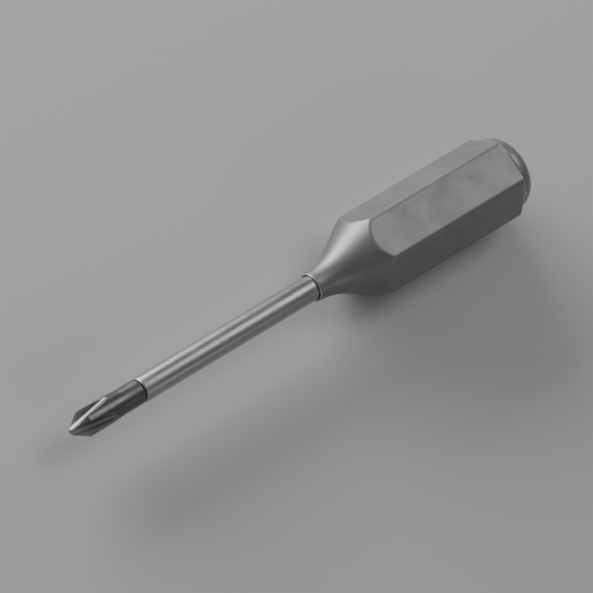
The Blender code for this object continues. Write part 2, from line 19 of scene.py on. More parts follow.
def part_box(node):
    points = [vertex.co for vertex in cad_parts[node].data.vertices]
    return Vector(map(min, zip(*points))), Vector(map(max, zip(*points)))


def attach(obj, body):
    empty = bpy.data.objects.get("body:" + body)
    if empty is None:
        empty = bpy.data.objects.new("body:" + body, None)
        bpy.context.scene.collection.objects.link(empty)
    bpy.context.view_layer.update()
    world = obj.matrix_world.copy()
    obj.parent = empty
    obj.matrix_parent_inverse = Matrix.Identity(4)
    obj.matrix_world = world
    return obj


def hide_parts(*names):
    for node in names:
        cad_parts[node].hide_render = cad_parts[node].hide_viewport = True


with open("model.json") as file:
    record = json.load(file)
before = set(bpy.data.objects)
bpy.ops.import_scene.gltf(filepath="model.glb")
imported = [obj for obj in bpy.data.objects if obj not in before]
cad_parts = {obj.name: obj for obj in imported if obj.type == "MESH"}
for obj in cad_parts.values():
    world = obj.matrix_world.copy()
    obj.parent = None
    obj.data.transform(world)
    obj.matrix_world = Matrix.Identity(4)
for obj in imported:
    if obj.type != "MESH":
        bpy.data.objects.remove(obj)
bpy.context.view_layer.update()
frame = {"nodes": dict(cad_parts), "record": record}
MM = 0.001

# %% [markdown]
# ## Where everything is
#
# A box around each piece of the engineering model says where it starts, where it ends and how
# thick it is. Reading the places from the boxes, and not typing them in again, means that the
# fine surfaces follow when the design changes.


# %% Read the main places from the frame
def ends(node):
    """Where a piece starts and ends along the tool, in metres."""
    low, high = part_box(node)
    return low[0], high[0]


def radius_of(node):
    """Half the height of a piece, which is the radius of a round one."""
    low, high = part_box(node)
    return (high[2] - low[2]) / 2


axis_height = sum(corner[2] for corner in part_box("handle_shell")) / 2
neck_front, handle_rear = ends("handle_shell")
shaft_front, shaft_rear = ends("drive_shaft")
cap_hub_front, cap_rear = ends("swivel_cap")
disc_front, disc_rear = ends("cap_disc")
bit_tip, bit_rear = ends("driver_bit")
collar_front, collar_rear = ends("drive_collar")
magnet_front, magnet_rear = ends("socket_magnet")
half_flats = radius_of("handle_shell")
shaft_radius = radius_of("drive_shaft")
cap_radius = radius_of("swivel_cap")
print(f"handle: {(handle_rear - neck_front) / MM:.1f} mm long, {2 * half_flats / MM:.1f} mm across flats")
print(f"shaft: {2 * shaft_radius / MM:.1f} mm thick")

# %% [markdown]
# ## The camera
#
# A long lens from more than a metre away keeps a small tool from looking stretched. The tool
# is seen from above, past its tip, so that the flats of the handle, the neck's sweep and the
# bit's point all show. The camera could track an empty, but a direction and a roll are fewer
# things to keep in step.

# %% Place the camera
CAMERA_DISTANCE = 1.157
FRAME_WIDTH = 0.122  # how much of the table the picture spans at the tool
SENSOR_WIDTH = 36.0
TO_CAMERA = Vector((-0.54, -0.107, 0.834)).normalized()
PICTURE_RIGHT = Vector((0.686, -0.630, 0.364))
CAMERA_ROLL = math.radians(4.4)

middle = Vector((0.0, 0.0, axis_height))
right = (PICTURE_RIGHT - TO_CAMERA * PICTURE_RIGHT.dot(TO_CAMERA)).normalized()
up = TO_CAMERA.cross(right)
turn = Matrix((right, up, TO_CAMERA)).transposed() @ Matrix.Rotation(CAMERA_ROLL, 3, "Z")

camera_data = bpy.data.cameras.new("studio_camera")
camera_data.sensor_width = SENSOR_WIDTH
camera_data.lens = SENSOR_WIDTH * CAMERA_DISTANCE / FRAME_WIDTH
camera_data.clip_start = 0.01
camera = bpy.data.objects.new("studio_camera", camera_data)
bpy.context.collection.objects.link(camera)
camera.location = middle + TO_CAMERA * CAMERA_DISTANCE
camera.rotation_euler = turn.to_euler()
bpy.context.scene.camera = camera
print(f"lens: {camera_data.lens:.0f} mm")

# %% [markdown]
# ## Floor and light
#
# Satin metal has hardly any colour of its own. What shows on it is the room. Two large soft
# panels therefore do most of the work: one behind the tool lights its far flats, and one
# overhead lays a broad sheen on the upper flat. The flats that look towards the front see only
# the floor, so they stay darker, and the form reads. A small bare lamp would give hard hot spots.


# %% Floor, soft panels and a dim room
def soft_panel(name, place, size, power):
    """A square light panel that faces the tool."""
    lamp = bpy.data.lights.new(name, "AREA")
    lamp.shape = "RECTANGLE"
    lamp.size, lamp.size_y = size
    lamp.energy = power
    panel = bpy.data.objects.new(name, lamp)
    bpy.context.collection.objects.link(panel)
    panel.location = place
    panel.rotation_euler = (middle - Vector(place)).to_track_quat("-Z", "Y").to_euler()


soft_panel("back_panel", (-0.10, 0.78, 0.19), (0.84, 0.36), 9.5)
soft_panel("top_panel", (0.62, 0.10, 0.90), (0.50, 0.45), 2.0)
soft_panel("front_fill", (0.10, -0.80, 0.42), (0.70, 0.22), 0.5)

ROOM_COLOUR = (0.80, 0.80, 0.80, 1.0)
ROOM_STRENGTH = 0.22
world = bpy.data.worlds.new("dim_room")
world.use_nodes = True
background = world.node_tree.nodes["Background"]
background.inputs["Color"].default_value = ROOM_COLOUR
background.inputs["Strength"].default_value = ROOM_STRENGTH
bpy.context.scene.world = world

FLOOR_SIZE = 6.0
floor_mesh = bpy.data.meshes.new("studio_floor")
builder = bmesh.new()
bmesh.ops.create_grid(builder, x_segments=1, y_segments=1, size=FLOOR_SIZE / 2)
builder.to_mesh(floor_mesh)
builder.free()
floor = bpy.data.objects.new("studio_floor", floor_mesh)
bpy.context.collection.objects.link(floor)

paper = bpy.data.materials.new("pale_paper")
paper.use_nodes = True
paper_shader = paper.node_tree.nodes["Principled BSDF"]
paper_shader.inputs["Base Color"].default_value = (0.62, 0.62, 0.61, 1.0)
paper_shader.inputs["Roughness"].default_value = 0.85
floor_mesh.materials.append(paper)
print("panels, room and floor ready")

# %% [markdown]
# ## One way to make every shape
#
# Each visible piece is a bar that was turned on a lathe and then cut flat, drilled or fluted. All
# of those can be said as one question: at this place along the tool, and in this direction round
# it, how far from the centre is the metal? `turned_shape` asks that question on a fine grid and
# skins the answers. Booleans could cut the flats too, but they leave long thin faces that catch
# light badly, while a grid stays even and can blend one cut softly into the next.


# %% Helpers for outlines
AXIS_GAP = 0.02 * MM  # an outline stops this far from the axis, and a small fan closes it
FACE_STEP = 0.02 * MM  # a narrow last ring that keeps a turned face crisp
CLOSE_FIT = 0.12 * MM  # clearance round a piece that is pressed or slid into place
LOOSE_FIT = 0.15 * MM


def soft_min(a, b, blend):
    """The smaller of two radii, rounded off where they cross, like an edge broken with a stone."""
    overlap = np.clip(1.0 - np.abs(a - b) / blend, 0.0, None)
    return np.minimum(a, b) - overlap**2 * blend / 4


def hexagon(angle, half_width, corner=0.0):
    """Radius of a hexagonal bar in a direction round it. Its flats face up and down."""
    off = np.abs((angle + math.pi / 6) % (math.pi / 3) - math.pi / 6)
    flat = half_width / np.cos(off)
    if corner == 0.0:
        return flat
    centre = (half_width - corner) / math.cos(math.pi / 6)
    swing = math.pi / 6 - off
    reach = np.clip(corner**2 - (centre * np.sin(swing)) ** 2, 0.0, None)
    rounded = centre * np.cos(swing) + np.sqrt(reach)
    flat_ends = math.atan((half_width - corner) * math.tan(math.pi / 6) / half_width)
    return np.where(off < flat_ends, flat, rounded)


def broken(points, width, steps=3):
    """Rounds the corners of a half section given as (place, radius) points."""
    result = [points[0]]
    for before, corner, after in zip(points, points[1:], points[2:]):
        here = Vector(corner)
        leg_in = Vector(before) - here
        leg_out = Vector(after) - here
        cut = min(width, leg_in.length * 0.45, leg_out.length * 0.45)
        start = here + leg_in.normalized() * cut
        stop = here + leg_out.normalized() * cut
        for i in range(steps + 1):
            t = i / steps
            result.append(tuple((1 - t) ** 2 * start + 2 * t * (1 - t) * here + t**2 * stop))
    result.append(points[-1])
    return result


print("outline helpers ready")


# %% [markdown]
# ## Edges that catch the light
#
# Handling polishes edges first. The shader needs to know where they are, so each mesh stores a
# number at every vertex: how sharply the surface bends outwards there. Cycles can guess this with
# its Pointiness output, but that depends on how dense the mesh is. Measuring it from the faces
# gives the same answer on every piece.


# %% Measure edges and skin the grid
EDGE_FULL = 2500.0  # bend, in radians per metre, of an edge that wears fully


def store_edges(mesh):
    """Writes how strongly the surface bends outwards to a vertex attribute called edge."""
    skin = bmesh.new()
    skin.from_mesh(mesh)
    bend = np.zeros(len(skin.verts))
    for seam in skin.edges:
        if len(seam.link_faces) != 2 or seam.calc_length() < 1e-9:
            continue
        width = sum(face.calc_area() for face in seam.link_faces) / (2 * seam.calc_length())
        turned_by = seam.calc_face_angle_signed(0.0)
        for vertex in seam.verts:
            bend[vertex.index] = max(bend[vertex.index], turned_by / max(width, 1e-6))
    skin.free()
    edge = mesh.attributes.new("edge", "FLOAT", "POINT")
    edge.data.foreach_set("value", np.clip(bend / EDGE_FULL, 0.0, 1.0))


def turned_shape(name, rows, steps, hollow=False, sharp=40.0):
    """Skins rows of (place along the tool, radius or function of angle) into one closed piece."""
    angle = np.arange(steps) * 2 * math.pi / steps
    points = []
    for place, radius in rows:
        reach = radius(angle) if callable(radius) else np.full(steps, float(radius))
        ring = (np.full(steps, place), reach * np.sin(angle), reach * np.cos(angle) + axis_height)
        points.append(np.stack(ring, axis=1))
    points = np.concatenate(points)
    faces = []
    for row in range(len(rows) if hollow else len(rows) - 1):
        this = row * steps
        following = (row + 1) % len(rows) * steps
        for i in range(steps):
            j = (i + 1) % steps
            faces.append((this + i, this + j, following + j, following + i))
    if not hollow:
        for row in (0, len(rows) - 1):
            centre = len(points)
            points = np.vstack([points, (rows[row][0], 0.0, axis_height)])
            base = row * steps
            faces += [(base + i, base + (i + 1) % steps, centre) for i in range(steps)]
    mesh = bpy.data.meshes.new(name)
    mesh.from_pydata(points.tolist(), [], faces)
    skin = bmesh.new()
    skin.from_mesh(mesh)
    bmesh.ops.recalc_face_normals(skin, faces=skin.faces)
    skin.to_mesh(mesh)
    skin.free()
    mesh.shade_smooth()
    mesh.set_sharp_from_angle(angle=math.radians(sharp))
    store_edges(mesh)
    piece = bpy.data.objects.new(name, mesh)
    bpy.context.collection.objects.link(piece)
    print(f"{name}: {len(mesh.vertices)} vertices")
    return piece


# %% [markdown]
# ## The handle
#
# On the real tool this is one length of hexagonal bar. A lathe turns the neck down to a thin lip
# round the shaft, and where the neck's cone runs out through the flats it leaves a scallop on
# each. Taking the smaller of the cone and the hexagon gives those scallops without drawing them.
# The rows crowd together where the two cross, because that is where the surface bends.

# %% Shape the handle
HANDLE_STEPS = 360
FINE_CUT = 0.12 * MM  # how far an edge is broken
LONG_CORNER = 1.35 * MM  # rounding of the six long corners
NECK_LIP = shaft_radius + 0.5 * MM
NECK_SWEEP = 16.5 * MM
NECK_CONE = math.radians(29.5)
BLANK_RADIUS = half_flats / math.cos(math.pi / 6) + 0.6 * MM
REAR_EDGE = half_flats + 0.15 * MM
REAR_CUT = 0.6 * MM
SCALLOP_BLEND = 0.28 * MM
LIP_CUT = 0.3 * MM
NECK_ROWS = 44
CONE_ROWS = 110
GRIP_ROWS = 36
REAR_ROWS = 18
GRIP_STOP = 1.2 * MM  # where the even rows of the grip stop, ahead of the rear face
REAR_START = 1.1 * MM  # where the fine rows of the rear chamfer start

sweep_start = neck_front + LIP_CUT
sweep_end = sweep_start + NECK_SWEEP * math.sin(NECK_CONE)
cone_radius = NECK_LIP + NECK_SWEEP * (1 - math.cos(NECK_CONE))
cone_end = sweep_end + (BLANK_RADIUS - cone_radius) / math.tan(NECK_CONE)


def neck_radius(place):
    """The turned outline of the neck: a concave sweep that runs out into a cone."""
    along = place - sweep_start
    if place <= sweep_end:
        return NECK_LIP + NECK_SWEEP - math.sqrt(NECK_SWEEP**2 - max(along, 0.0) ** 2)
    return cone_radius + (place - sweep_end) * math.tan(NECK_CONE)


def handle_row(place, turned_radius):
    """One ring of the handle: the turned outline, cut to the hexagon."""
    return place, lambda a: soft_min(turned_radius, hexagon(a, half_flats, LONG_CORNER), SCALLOP_BLEND)


neck_rows = [handle_row(x, neck_radius(x)) for x in np.linspace(sweep_start, sweep_end, NECK_ROWS)]
cone_rows = [handle_row(x, neck_radius(x)) for x in np.linspace(sweep_end, cone_end, CONE_ROWS)[1:]]
grip_places = np.linspace(cone_end, handle_rear - GRIP_STOP, GRIP_ROWS)[1:]
grip_rows = [handle_row(x, BLANK_RADIUS) for x in grip_places]
rear_rows = []
for x in np.linspace(handle_rear - REAR_START, handle_rear, REAR_ROWS):
    chamfer = REAR_EDGE + (BLANK_RADIUS - REAR_EDGE) * min((handle_rear - x) / REAR_CUT, 1.0)
    rear_rows.append(handle_row(x, chamfer))
print("rows of the handle's outside:", len(neck_rows + cone_rows + grip_rows + rear_rows))

# %% [markdown]
# The inside of the handle is drilled from both ends. It is hidden when the tool is together, but
# the handle is a piece in its own right, so its bore, the pocket for the collar and the
# recess for the washer are all there. Their clearances repeat the engineering model's.

# %% Drill the handle and close it
BORE_RADIUS = radius_of("end_plug") + LOOSE_FIT
SHAFT_BORE = shaft_radius + CLOSE_FIT
POCKET_HALF = radius_of("drive_collar") + LOOSE_FIT
WASHER_RECESS = radius_of("thrust_washer") + LOOSE_FIT
WASHER_GAP = 0.1 * MM
POCKET_GAP = 0.3 * MM
REAR_LIP_WIDTH = 0.4 * MM
washer_floor = ends("thrust_washer")[0] - WASHER_GAP
pocket_front = collar_front - CLOSE_FIT
pocket_rear = collar_rear + POCKET_GAP
rear_lip = [
    (handle_rear, WASHER_RECESS + REAR_LIP_WIDTH),
    (handle_rear, WASHER_RECESS),
    (washer_floor, WASHER_RECESS),
    (washer_floor, BORE_RADIUS),
    (pocket_rear, BORE_RADIUS),
]
front_lip = [
    (pocket_front, SHAFT_BORE),
    (neck_front, SHAFT_BORE),
    (neck_front, NECK_LIP - FACE_STEP),
    (neck_front + LIP_CUT, NECK_LIP),
]
pocket_rows = [
    (pocket_rear, lambda a: hexagon(a, POCKET_HALF)),
    (pocket_front, lambda a: hexagon(a, POCKET_HALF)),
]
inside_rows = broken(rear_lip, FINE_CUT) + pocket_rows + broken(front_lip, FINE_CUT)[:-1]
handle = turned_shape(
    "handle",
    neck_rows + cone_rows + grip_rows + rear_rows + inside_rows,
    HANDLE_STEPS,
    hollow=True,
)
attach(handle, "handle")
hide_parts("handle_shell")

# %% [markdown]
# ## The shaft
#
# A rod of steel, ground round and faced off at the front, with a hexagonal socket for the bit.
# The socket is broached, so its corners are crisp, while its mouth has a small lead-in that
# guides the bit home.

# %% Shape the shaft
SHAFT_STEPS = 180
SOCKET_HALF = 2.1 * MM
SOCKET_CORNER = 0.15 * MM
MAGNET_HOLE = radius_of("socket_magnet") + CLOSE_FIT
SHAFT_CUT = 0.22 * MM
LEAD_IN = 0.06 * MM
LEAD_IN_DEPTH = 0.10 * MM
socket_rear = magnet_front - CLOSE_FIT
magnet_floor = magnet_rear + CLOSE_FIT


def socket_row(place, wider=0.0):
    """One ring of the socket's wall."""
    return place, lambda a: hexagon(a, SOCKET_HALF + wider, SOCKET_CORNER)


shaft_outline = [
    (shaft_rear, AXIS_GAP),
    (shaft_rear, shaft_radius - SHAFT_CUT),
    (shaft_rear - SHAFT_CUT, shaft_radius),
    (shaft_front + SHAFT_CUT, shaft_radius),
    (shaft_front, shaft_radius - SHAFT_CUT),
    (shaft_front, shaft_radius - SHAFT_CUT - FACE_STEP),
]
shaft_rows = broken(shaft_outline, FINE_CUT)[:-1]
shaft_rows += [socket_row(shaft_front, LEAD_IN), socket_row(shaft_front + LEAD_IN_DEPTH)]
shaft_rows += [socket_row(socket_rear), (socket_rear, MAGNET_HOLE), (magnet_floor, MAGNET_HOLE)]
shaft_rows += [(magnet_floor, AXIS_GAP)]
shaft = turned_shape("shaft", shaft_rows, SHAFT_STEPS)
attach(shaft, "handle")
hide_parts("drive_shaft")

# %% [markdown]
# ## The bit
#
# The bit's head is turned to nearly the shaft's own thickness, so the two meet flush, and behind
# its shoulder a hexagonal tang fills the socket. Its point is ground with four flutes, each by a
# wheel that leans away from the axis, so a flute starts deep at the tip and fades out along the
# head. A round groove that leans outwards has a simple answer to the question of how much metal
# is left, so the flutes and the turned outline join in one minimum.

# %% Shape the bit
BIT_STEPS = 288
TANG_HALF = 2.0 * MM
TANG_BLANK = TANG_HALF / math.cos(math.pi / 6)
TANG_CUT = 0.4 * MM
TANG_CORNER = 0.12 * MM
TANG_STEP = 0.03 * MM  # keeps the shoulder's face clear of the tang's first ring
HEAD_RADIUS = radius_of("driver_bit")
TIP_RADIUS = 0.65 * MM
TIP_RIM = 0.95 * MM
TIP_ROUND = 0.15 * MM
POINT_LENGTH = 3.6 * MM
HEAD_LENGTH = 9.0 * MM
WAIST_START = 13.0 * MM
SHOULDER_CUT = 0.3 * MM
WAIST_RADIUS = 2.65 * MM
FLUTE_RADIUS = 1.45 * MM
FLUTE_ROOT = 0.5 * MM
FLUTE_LEAN = math.radians(13.0)
FLUTE_BLEND = 0.05 * MM
NO_CUT = 10 * HEAD_RADIUS
shoulder = shaft_front - LOOSE_FIT
head_outline = [
    (bit_tip, AXIS_GAP),
    (bit_tip, TIP_RADIUS),
    (bit_tip + TIP_ROUND, TIP_RIM),
    (bit_tip + POINT_LENGTH, HEAD_RADIUS),
    (bit_tip + HEAD_LENGTH, HEAD_RADIUS),
    (bit_tip + WAIST_START, WAIST_RADIUS),
    (shoulder - SHOULDER_CUT, WAIST_RADIUS),
    (shoulder, WAIST_RADIUS - SHOULDER_CUT),
    (shoulder, TANG_BLANK + TANG_STEP),
]
tang_outline = [
    (shoulder, TANG_BLANK),
    (bit_rear - TANG_CUT, TANG_BLANK),
    (bit_rear, TANG_BLANK - TANG_CUT),
    (bit_rear, AXIS_GAP),
]


def metal_left_by_flutes(angle, place):
    """Radius that the four flutes leave in each direction, or a large one where they don't reach."""
    centre = FLUTE_ROOT + FLUTE_RADIUS + (place - bit_tip) * math.tan(FLUTE_LEAN)
    off = (angle % (math.pi / 2)) - math.pi / 4
    reach = FLUTE_RADIUS**2 - (centre * np.sin(off)) ** 2
    wall = centre * np.cos(off) - np.sqrt(np.clip(reach, 0.0, None))
    return np.where(reach > 0.0, wall, NO_CUT)


def head_row(place, radius):
    """One ring of the head: the turned outline, cut by the flutes."""
    return place, lambda a: soft_min(radius, metal_left_by_flutes(a, place), FLUTE_BLEND)


def tang_row(place, radius):
    """One ring of the tang: a hexagon with its end chamfered."""
    return place, lambda a: soft_min(radius, hexagon(a, TANG_HALF, TANG_CORNER), FLUTE_BLEND)


HEAD_BREAK = 0.15 * MM
HEAD_SPACING = 0.08 * MM
TANG_BREAK = 0.10 * MM
TANG_SPACING = 0.6 * MM


def fill_in(outline, spacing):
    """Adds points along each stretch of an outline, so that cuts across it stay crisp."""
    result = [outline[0]]
    for start, stop in zip(outline, outline[1:]):
        count = max(1, math.ceil(abs(stop[0] - start[0]) / spacing))
        for i in range(1, count + 1):
            result.append(tuple(Vector(start).lerp(Vector(stop), i / count)))
    return result


head_points = fill_in(broken(head_outline, HEAD_BREAK, 5), HEAD_SPACING)
tang_points = fill_in(broken(tang_outline, TANG_BREAK), TANG_SPACING)
bit_rows = [head_row(*point) for point in head_points] + [tang_row(*point) for point in tang_points]
bit = turned_shape("bit", bit_rows, BIT_STEPS, sharp=50.0)
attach(bit, "bit")
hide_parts("driver_bit")

# %% [markdown]
# ## The swivel cap
#
# A fingertip presses here while the other fingers turn the handle, so the cap is a smooth dome
# with a flat on top. It is turned in one piece with the hub that pushes on the bearing. A quarter
# circle for the dome and straight lines for the rest say everything about it.

# %% Shape the cap
CAP_STEPS = 216
CAP_DOME = 3.2 * MM
DOME_STEPS = 22
DISC_GAP = 0.1 * MM
COUNTERBORE = radius_of("cap_disc") + DISC_GAP
HEAD_SEAT = cap_rear - 2.2 * MM  # floor of the counterbore, where the screw's head sits
CAP_CUT = 0.3 * MM
CAP_RIM = 0.4 * MM
CAP_SIDE = 1.0 * MM
CAP_GAP = 0.25 * MM
AXLE_HOLE = 2.03 * MM
HUB_RADIUS = 2.6 * MM
cap_front = handle_rear + CAP_GAP
dome = []
for i in range(DOME_STEPS + 1):
    swing = math.pi / 2 * i / DOME_STEPS
    place = cap_rear - CAP_DOME + CAP_DOME * math.cos(swing)
    dome.append((place, cap_radius - CAP_DOME + CAP_DOME * math.sin(swing)))
cap_back = [
    (cap_rear - CAP_CUT, COUNTERBORE),
    (cap_rear, COUNTERBORE),
    (cap_rear, COUNTERBORE + CAP_RIM),
]
cap_front_side = [
    (cap_front + CAP_SIDE, cap_radius),
    (cap_front + CAP_CUT, cap_radius),
    (cap_front, cap_radius - CAP_CUT),
    (cap_front, HUB_RADIUS),
    (cap_hub_front, HUB_RADIUS),
    (cap_hub_front, AXLE_HOLE),
    (HEAD_SEAT, AXLE_HOLE),
    (HEAD_SEAT, COUNTERBORE),
    (HEAD_SEAT + CAP_CUT, COUNTERBORE),
]
cap_rows = broken(cap_back, FINE_CUT) + dome + broken(cap_front_side, FINE_CUT)
cap = turned_shape("cap", cap_rows, CAP_STEPS, hollow=True)
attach(cap, "cap")
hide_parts("swivel_cap")

# %% [markdown]
# The cover disc hides the screw that holds the cap. A turned disc of this size shows a fine
# groove near its rim and the faint dimple that the lathe's centre leaves.

# %% Shape the cover disc
DISC_RADIUS = radius_of("cap_disc")
GROOVE_DEPTH = 0.07 * MM
GROOVE_OUTER = 0.55 * MM  # distances from the disc's rim
GROOVE_MIDDLE = 0.70 * MM
GROOVE_INNER = 0.85 * MM
DIMPLE_RADIUS = 0.6 * MM
DIMPLE_DEPTH = 0.1 * MM
DIMPLE_LIP = 0.01 * MM
DISC_BREAK = 0.08 * MM
disc_outline = [
    (disc_front, AXIS_GAP),
    (disc_front, DISC_RADIUS),
    (disc_rear, DISC_RADIUS),
    (disc_rear, DISC_RADIUS - GROOVE_OUTER),
    (disc_rear - GROOVE_DEPTH, DISC_RADIUS - GROOVE_MIDDLE),
    (disc_rear, DISC_RADIUS - GROOVE_INNER),
    (disc_rear - DIMPLE_LIP, DIMPLE_RADIUS),
    (disc_rear - DIMPLE_DEPTH, AXIS_GAP),
]
disc = turned_shape("cover_disc", broken(disc_outline, DISC_BREAK), CAP_STEPS)
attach(disc, "cap")
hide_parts("cap_disc")

# %% [markdown]
# ## Effects that several finishes share
#
# Worn edges, the grain of bead blasting, the rings left by a lathe, hairline scratches and the
# marks of hands appear on more than one piece. Each is a node group: built once, with named
# inputs, and placed in every material that needs it with its own values. The groups only give out
# masks and heights. The shader stays in the material, where each finish can be read at a glance.


# %% Helpers for node groups
def new_group(name, inputs, outputs):
    """An empty shader node group with named number sockets."""
    group = bpy.data.node_groups.new(name, "ShaderNodeTree")
    group.interface.new_socket("Vector", in_out="INPUT", socket_type="NodeSocketVector")
    for socket, value in inputs.items():
        made = group.interface.new_socket(socket, in_out="INPUT", socket_type="NodeSocketFloat")
        made.default_value = value
    for socket in outputs:
        group.interface.new_socket(socket, in_out="OUTPUT", socket_type="NodeSocketFloat")
    source = group.nodes.new("NodeGroupInput")
    drain = group.nodes.new("NodeGroupOutput")
    return group, source, drain


def math_node(tree, operation, first, second=None):
    """A Math node fed by sockets or plain numbers. Returns its output."""
    node = tree.nodes.new("ShaderNodeMath")
    node.operation = operation
    for socket, value in zip(node.inputs, (first, second)):
        if value is None:
            continue
        if isinstance(value, (int, float)):
            socket.default_value = value
        else:
            tree.links.new(value, socket)
    return node.outputs[0]


def ramp_between(tree, value, low, high):
    """A smooth step from 0 at low to 1 at high."""
    node = tree.nodes.new("ShaderNodeMapRange")
    node.interpolation_type = "SMOOTHSTEP"
    tree.links.new(value, node.inputs["Value"])
    for socket, limit in (("From Min", low), ("From Max", high)):
        if isinstance(limit, (int, float)):
            node.inputs[socket].default_value = limit
        else:
            tree.links.new(limit, node.inputs[socket])
    return node.outputs["Result"]


def stretched(tree, vector, scale, turned_by=(0.0, 0.0, 0.0)):
    """Coordinates scaled along each axis, after a turn, to draw a pattern out along one of them."""
    node = tree.nodes.new("ShaderNodeMapping")
    node.vector_type = "POINT"
    node.inputs["Rotation"].default_value = turned_by
    node.inputs["Scale"].default_value = scale
    tree.links.new(vector, node.inputs["Vector"])
    return node.outputs["Vector"]


def noise(tree, vector, scale=1.0, detail=2.0, roughness=0.5):
    """Noise between 0 and 1. The scale may be a socket."""
    node = tree.nodes.new("ShaderNodeTexNoise")
    node.inputs["Detail"].default_value = detail
    node.inputs["Roughness"].default_value = roughness
    tree.links.new(vector, node.inputs["Vector"])
    if isinstance(scale, (int, float)):
        node.inputs["Scale"].default_value = scale
    else:
        tree.links.new(scale, node.inputs["Scale"])
    return node.outputs["Fac"]


print("node helpers ready")

# %% [markdown]
# **Worn edges.** The mask starts from the stored edge measure and is broken up by noise, because
# wear is patchy: a tool slides on a bench here and is gripped there.

# %% Node group: worn edges
edge_wear, source, drain = new_group("edge_wear", {"Reach": 0.5, "Patchiness": 0.5}, ["Mask"])
stored = edge_wear.nodes.new("ShaderNodeAttribute")
stored.attribute_name = "edge"
patches = noise(edge_wear, source.outputs["Vector"], 900.0, detail=4.0, roughness=0.65)
centred = math_node(edge_wear, "SUBTRACT", patches, 0.5)
uneven = math_node(edge_wear, "MULTIPLY", centred, source.outputs["Patchiness"])
worn = math_node(edge_wear, "ADD", stored.outputs["Fac"], uneven)
start = math_node(edge_wear, "SUBTRACT", 1.0, source.outputs["Reach"])
full = math_node(edge_wear, "ADD", start, 0.35)
edge_wear.links.new(ramp_between(edge_wear, worn, start, full), drain.inputs["Mask"])
print("group edge_wear ready")

# %% [markdown]
# **Bead blasting.** Fine glass beads leave overlapping dimples about a tenth of a millimetre
# across. Two layers of noise at that size give the dimples, and a larger one gives the faint
# cloudiness of the anodised film over them.

# %% Node group: blasted grain
blast_grain, source, drain = new_group("blast_grain", {"Grain per metre": 9000.0}, ["Height", "Cloud"])
fine = noise(blast_grain, source.outputs["Vector"], source.outputs["Grain per metre"], detail=1.5)
finer_scale = math_node(blast_grain, "MULTIPLY", source.outputs["Grain per metre"], 2.3)
finer = noise(blast_grain, source.outputs["Vector"], finer_scale, detail=0.0)
both = math_node(blast_grain, "MULTIPLY", math_node(blast_grain, "ADD", fine, finer), 0.5)
blast_grain.links.new(both, drain.inputs["Height"])
cloud = noise(blast_grain, source.outputs["Vector"], 260.0, detail=3.0)
blast_grain.links.new(cloud, drain.inputs["Cloud"])
print("group blast_grain ready")

# %% [markdown]
# **Turning lines.** A lathe or grinder moves along the tool while the work spins, so its marks run
# round the piece. Noise squeezed hard along the axis, and hardly at all across it, becomes rings.

# %% Node group: turning lines
turning_lines, source, drain = new_group("turning_lines", {"Unevenness": 0.35}, ["Height", "Tone"])
rings = stretched(turning_lines, source.outputs["Vector"], (16000.0, 60.0, 60.0))
broad = stretched(turning_lines, source.outputs["Vector"], (2600.0, 25.0, 25.0))
fine_rings = noise(turning_lines, rings, detail=2.0)
broad_rings = noise(turning_lines, broad, detail=1.0)
swell = math_node(turning_lines, "MULTIPLY", broad_rings, source.outputs["Unevenness"])
turning_lines.links.new(math_node(turning_lines, "ADD", fine_rings, swell), drain.inputs["Height"])
turning_lines.links.new(broad_rings, drain.inputs["Tone"])
print("group turning_lines ready")

# %% [markdown]
# **Hairline scratches.** Noise drawn out into long streaks has thin lines where it passes through
# its middle value. Two sets at different slants look like scratches collected one by one. A patchy
# mask removes most of them, because an even net of lines would look printed.

# %% Node group: hairline scratches
hairlines, source, drain = new_group("hairlines", {"Thickness": 0.012, "Amount": 0.4}, ["Mask"])
found = None
for slant, across in ((0.16, 520.0), (-0.30, 430.0)):
    streaks = stretched(
        hairlines, source.outputs["Vector"], (22.0, across, across), (slant, slant / 2, slant)
    )
    value = noise(hairlines, streaks, detail=1.0)
    distance = math_node(hairlines, "ABSOLUTE", math_node(hairlines, "SUBTRACT", value, 0.5))
    near = math_node(hairlines, "LESS_THAN", distance, source.outputs["Thickness"])
    found = near if found is None else math_node(hairlines, "MAXIMUM", found, near)
patches = stretched(hairlines, source.outputs["Vector"], (55.0, 320.0, 320.0))
where = noise(hairlines, patches, detail=1.0)
threshold = math_node(hairlines, "SUBTRACT", 1.0, source.outputs["Amount"])
kept = ramp_between(hairlines, where, threshold, math_node(hairlines, "ADD", threshold, 0.12))
hairlines.links.new(math_node(hairlines, "MULTIPLY", found, kept), drain.inputs["Mask"])
print("group hairlines ready")

# %% [markdown]
# **Marks of hands.** Skin leaves a thin film that dulls the metal in soft patches, and specks of
# dust settle everywhere. Both only change roughness and tone a little, but without them metal
# looks like a drawing.

# %% Node group: handling marks
handling, source, drain = new_group("handling", {"Smudge": 0.5, "Dust": 0.3}, ["Smudge", "Dust"])
film = noise(handling, source.outputs["Vector"], 120.0, detail=5.0, roughness=0.6)
patch = ramp_between(handling, film, 0.42, 0.68)
handling.links.new(math_node(handling, "MULTIPLY", patch, source.outputs["Smudge"]), drain.inputs["Smudge"])
specks = handling.nodes.new("ShaderNodeTexVoronoi")
specks.inputs["Scale"].default_value = 1500.0
handling.links.new(source.outputs["Vector"], specks.inputs["Vector"])
speck = math_node(handling, "LESS_THAN", specks.outputs["Distance"], 0.11)
sparse = ramp_between(handling, noise(handling, source.outputs["Vector"], 700.0), 0.55, 0.62)
dust = math_node(handling, "MULTIPLY", math_node(handling, "MULTIPLY", speck, sparse), source.outputs["Dust"])
handling.links.new(dust, drain.inputs["Dust"])
print("group handling ready")

# %% [markdown]
# ## The finishes
#
# Every finish starts the same way: a Principled shader, coordinates fixed to the piece, and a
# bump. `Finish` keeps those together, so that the recipe for each metal is only a few lines: what
# its colour is, where wear shows, how rough it is and how its surface undulates.


